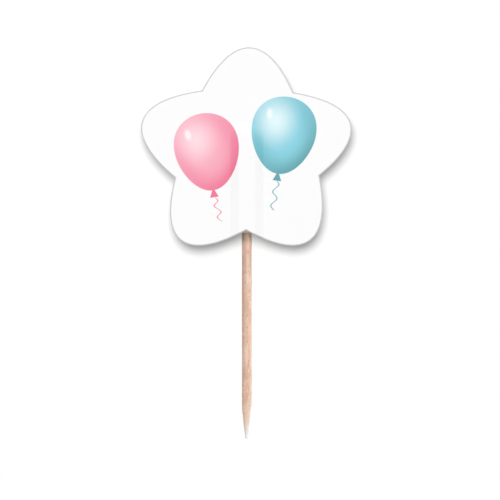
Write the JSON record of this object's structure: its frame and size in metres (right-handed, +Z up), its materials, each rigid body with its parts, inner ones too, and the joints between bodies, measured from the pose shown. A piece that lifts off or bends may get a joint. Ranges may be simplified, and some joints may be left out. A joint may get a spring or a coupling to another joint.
{
  "type": "cupcake pick",
  "caption": "Five-lobed white star of two glued cards, pressed over a pointed wooden pick that is pushed into a cake.",
  "frame": {"origin": "centre of the blunt lower point of the pick, on the pick's axis", "axes": "+Z runs up the pick to the star, +X to the right seen from the front, and the printed card faces -Y"},
  "size_m": [0.0458, 0.0029, 0.0851],
  "materials": {
    "printed_card": "smooth coated white, printed",
    "plain_card": "smooth white, unprinted",
    "glue_film": "dried clear glue",
    "dried_glue": "dried milky glue",
    "birch": "raw turned birch"
  },
  "bodies": {
    "root": {"front_card": "printed_card", "back_card": "plain_card", "adhesive_film": "glue_film", "glue_bead_left": "dried_glue", "glue_bead_right": "dried_glue", "pick": "birch"}
  },
  "joints": []
}
